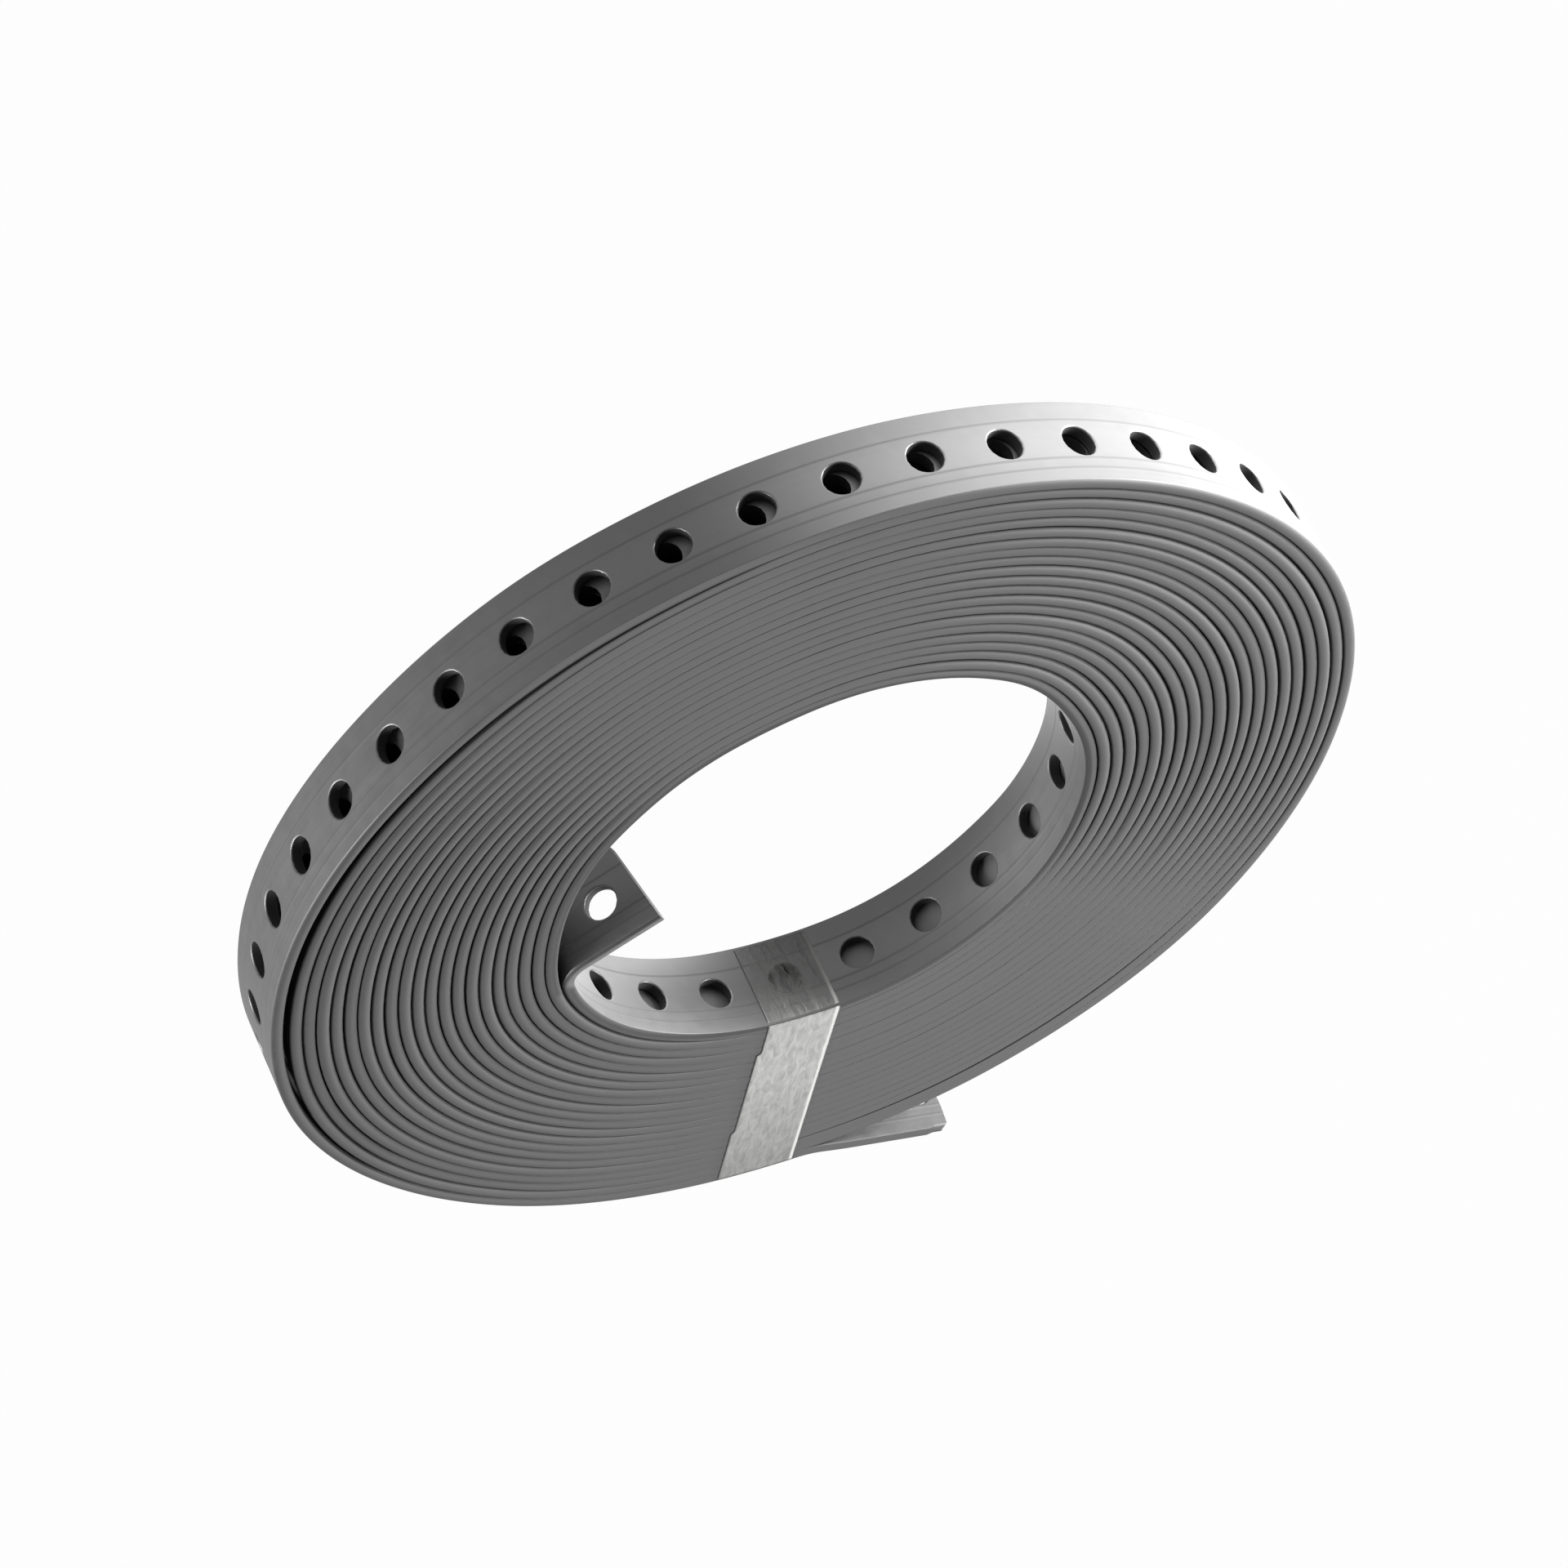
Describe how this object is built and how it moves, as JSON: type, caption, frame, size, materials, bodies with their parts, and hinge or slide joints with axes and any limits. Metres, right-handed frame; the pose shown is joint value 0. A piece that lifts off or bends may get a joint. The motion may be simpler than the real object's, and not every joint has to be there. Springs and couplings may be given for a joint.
{
  "type": "perforated steel strap",
  "caption": "Perforated steel strap wound in a flat coil, with one row of round holes, its inner end bent across the bore, its outer end free, and clear tape round the roll",
  "frame": {"origin": "on the floor under the middle of the coil's bounding box", "axes": "+Z is the coil's axis, pointing out of the end face that the picture shows. The tape crosses the roll towards -Y, and the free outer end of the strap points towards +X beside it."},
  "size_m": [0.1966, 0.2004, 0.0174],
  "materials": {
    "strap_steel": "galvanised, dull grey",
    "clear_tape": "clear film with a dry, fibrous look"
  },
  "bodies": {
    "root": {"strap_coil": "strap_steel", "binding_tape": "clear_tape"}
  },
  "joints": []
}
